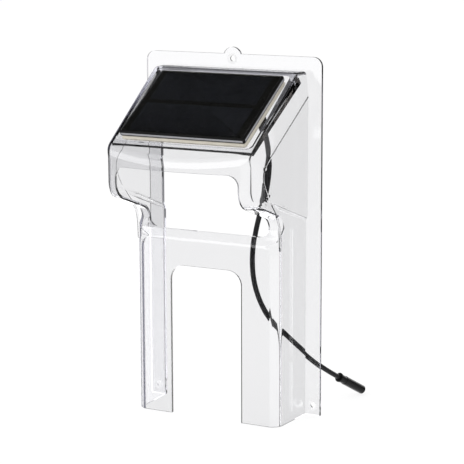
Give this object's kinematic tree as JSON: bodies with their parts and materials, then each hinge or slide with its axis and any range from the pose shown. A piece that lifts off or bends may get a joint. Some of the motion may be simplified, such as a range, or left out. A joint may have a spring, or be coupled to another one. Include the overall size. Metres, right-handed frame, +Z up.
{
  "type": "fence energizer hood with solar panel",
  "caption": "Clear wall hood with a front window, a small solar panel bedded on its sloped roof, and a lead that ends in an in-line connector.",
  "frame": {"origin": "centre of the hood's footprint, level with the bottom edge of its flange and legs, without the lead", "axes": "+Z up, -Y towards the front with the window and the panel, +Y towards the wall, +X to the right when seen from the front"},
  "size_m": [0.1652, 0.1794, 0.2955],
  "materials": {
    "clear_polycarbonate": "clear, polished",
    "foam_tan": "matt closed-cell foam",
    "tray_black": "gloss black",
    "cell_silicon": "dark blue-grey, satin",
    "clear_sheet": "clear, gloss",
    "encapsulant": "clear resin over a black backing",
    "board_black": "satin solder mask",
    "pad_gold": "plated",
    "diode_black": "matt moulded",
    "solder": "bright",
    "core_red": "satin",
    "core_black": "satin",
    "lead_black": "satin",
    "rubber_black": "matt",
    "connector_black": "satin",
    "insert_grey": "matt",
    "pin_plated": "plated",
    "seal_red": "satin"
  },
  "bodies": {
    "root": {"hood_shell": "clear_polycarbonate", "foam_pad": "foam_tan", "panel_tray": "tray_black", "circuit_board": "board_black", "solar_cells": "cell_silicon", "cell_encapsulant": "encapsulant", "cover_sheet": "clear_sheet", "terminal_pads": "pad_gold", "blocking_diode": "diode_black", "positive_core": "core_red", "negative_core": "core_black", "core_joints": "solder", "lead_bush": "rubber_black", "lead_grommet": "rubber_black", "solar_lead": "lead_black", "connector_collar": "connector_black", "connector_barrel": "connector_black", "connector_insert": "insert_grey", "connector_pins": "pin_plated", "connector_seal": "seal_red"}
  },
  "joints": []
}
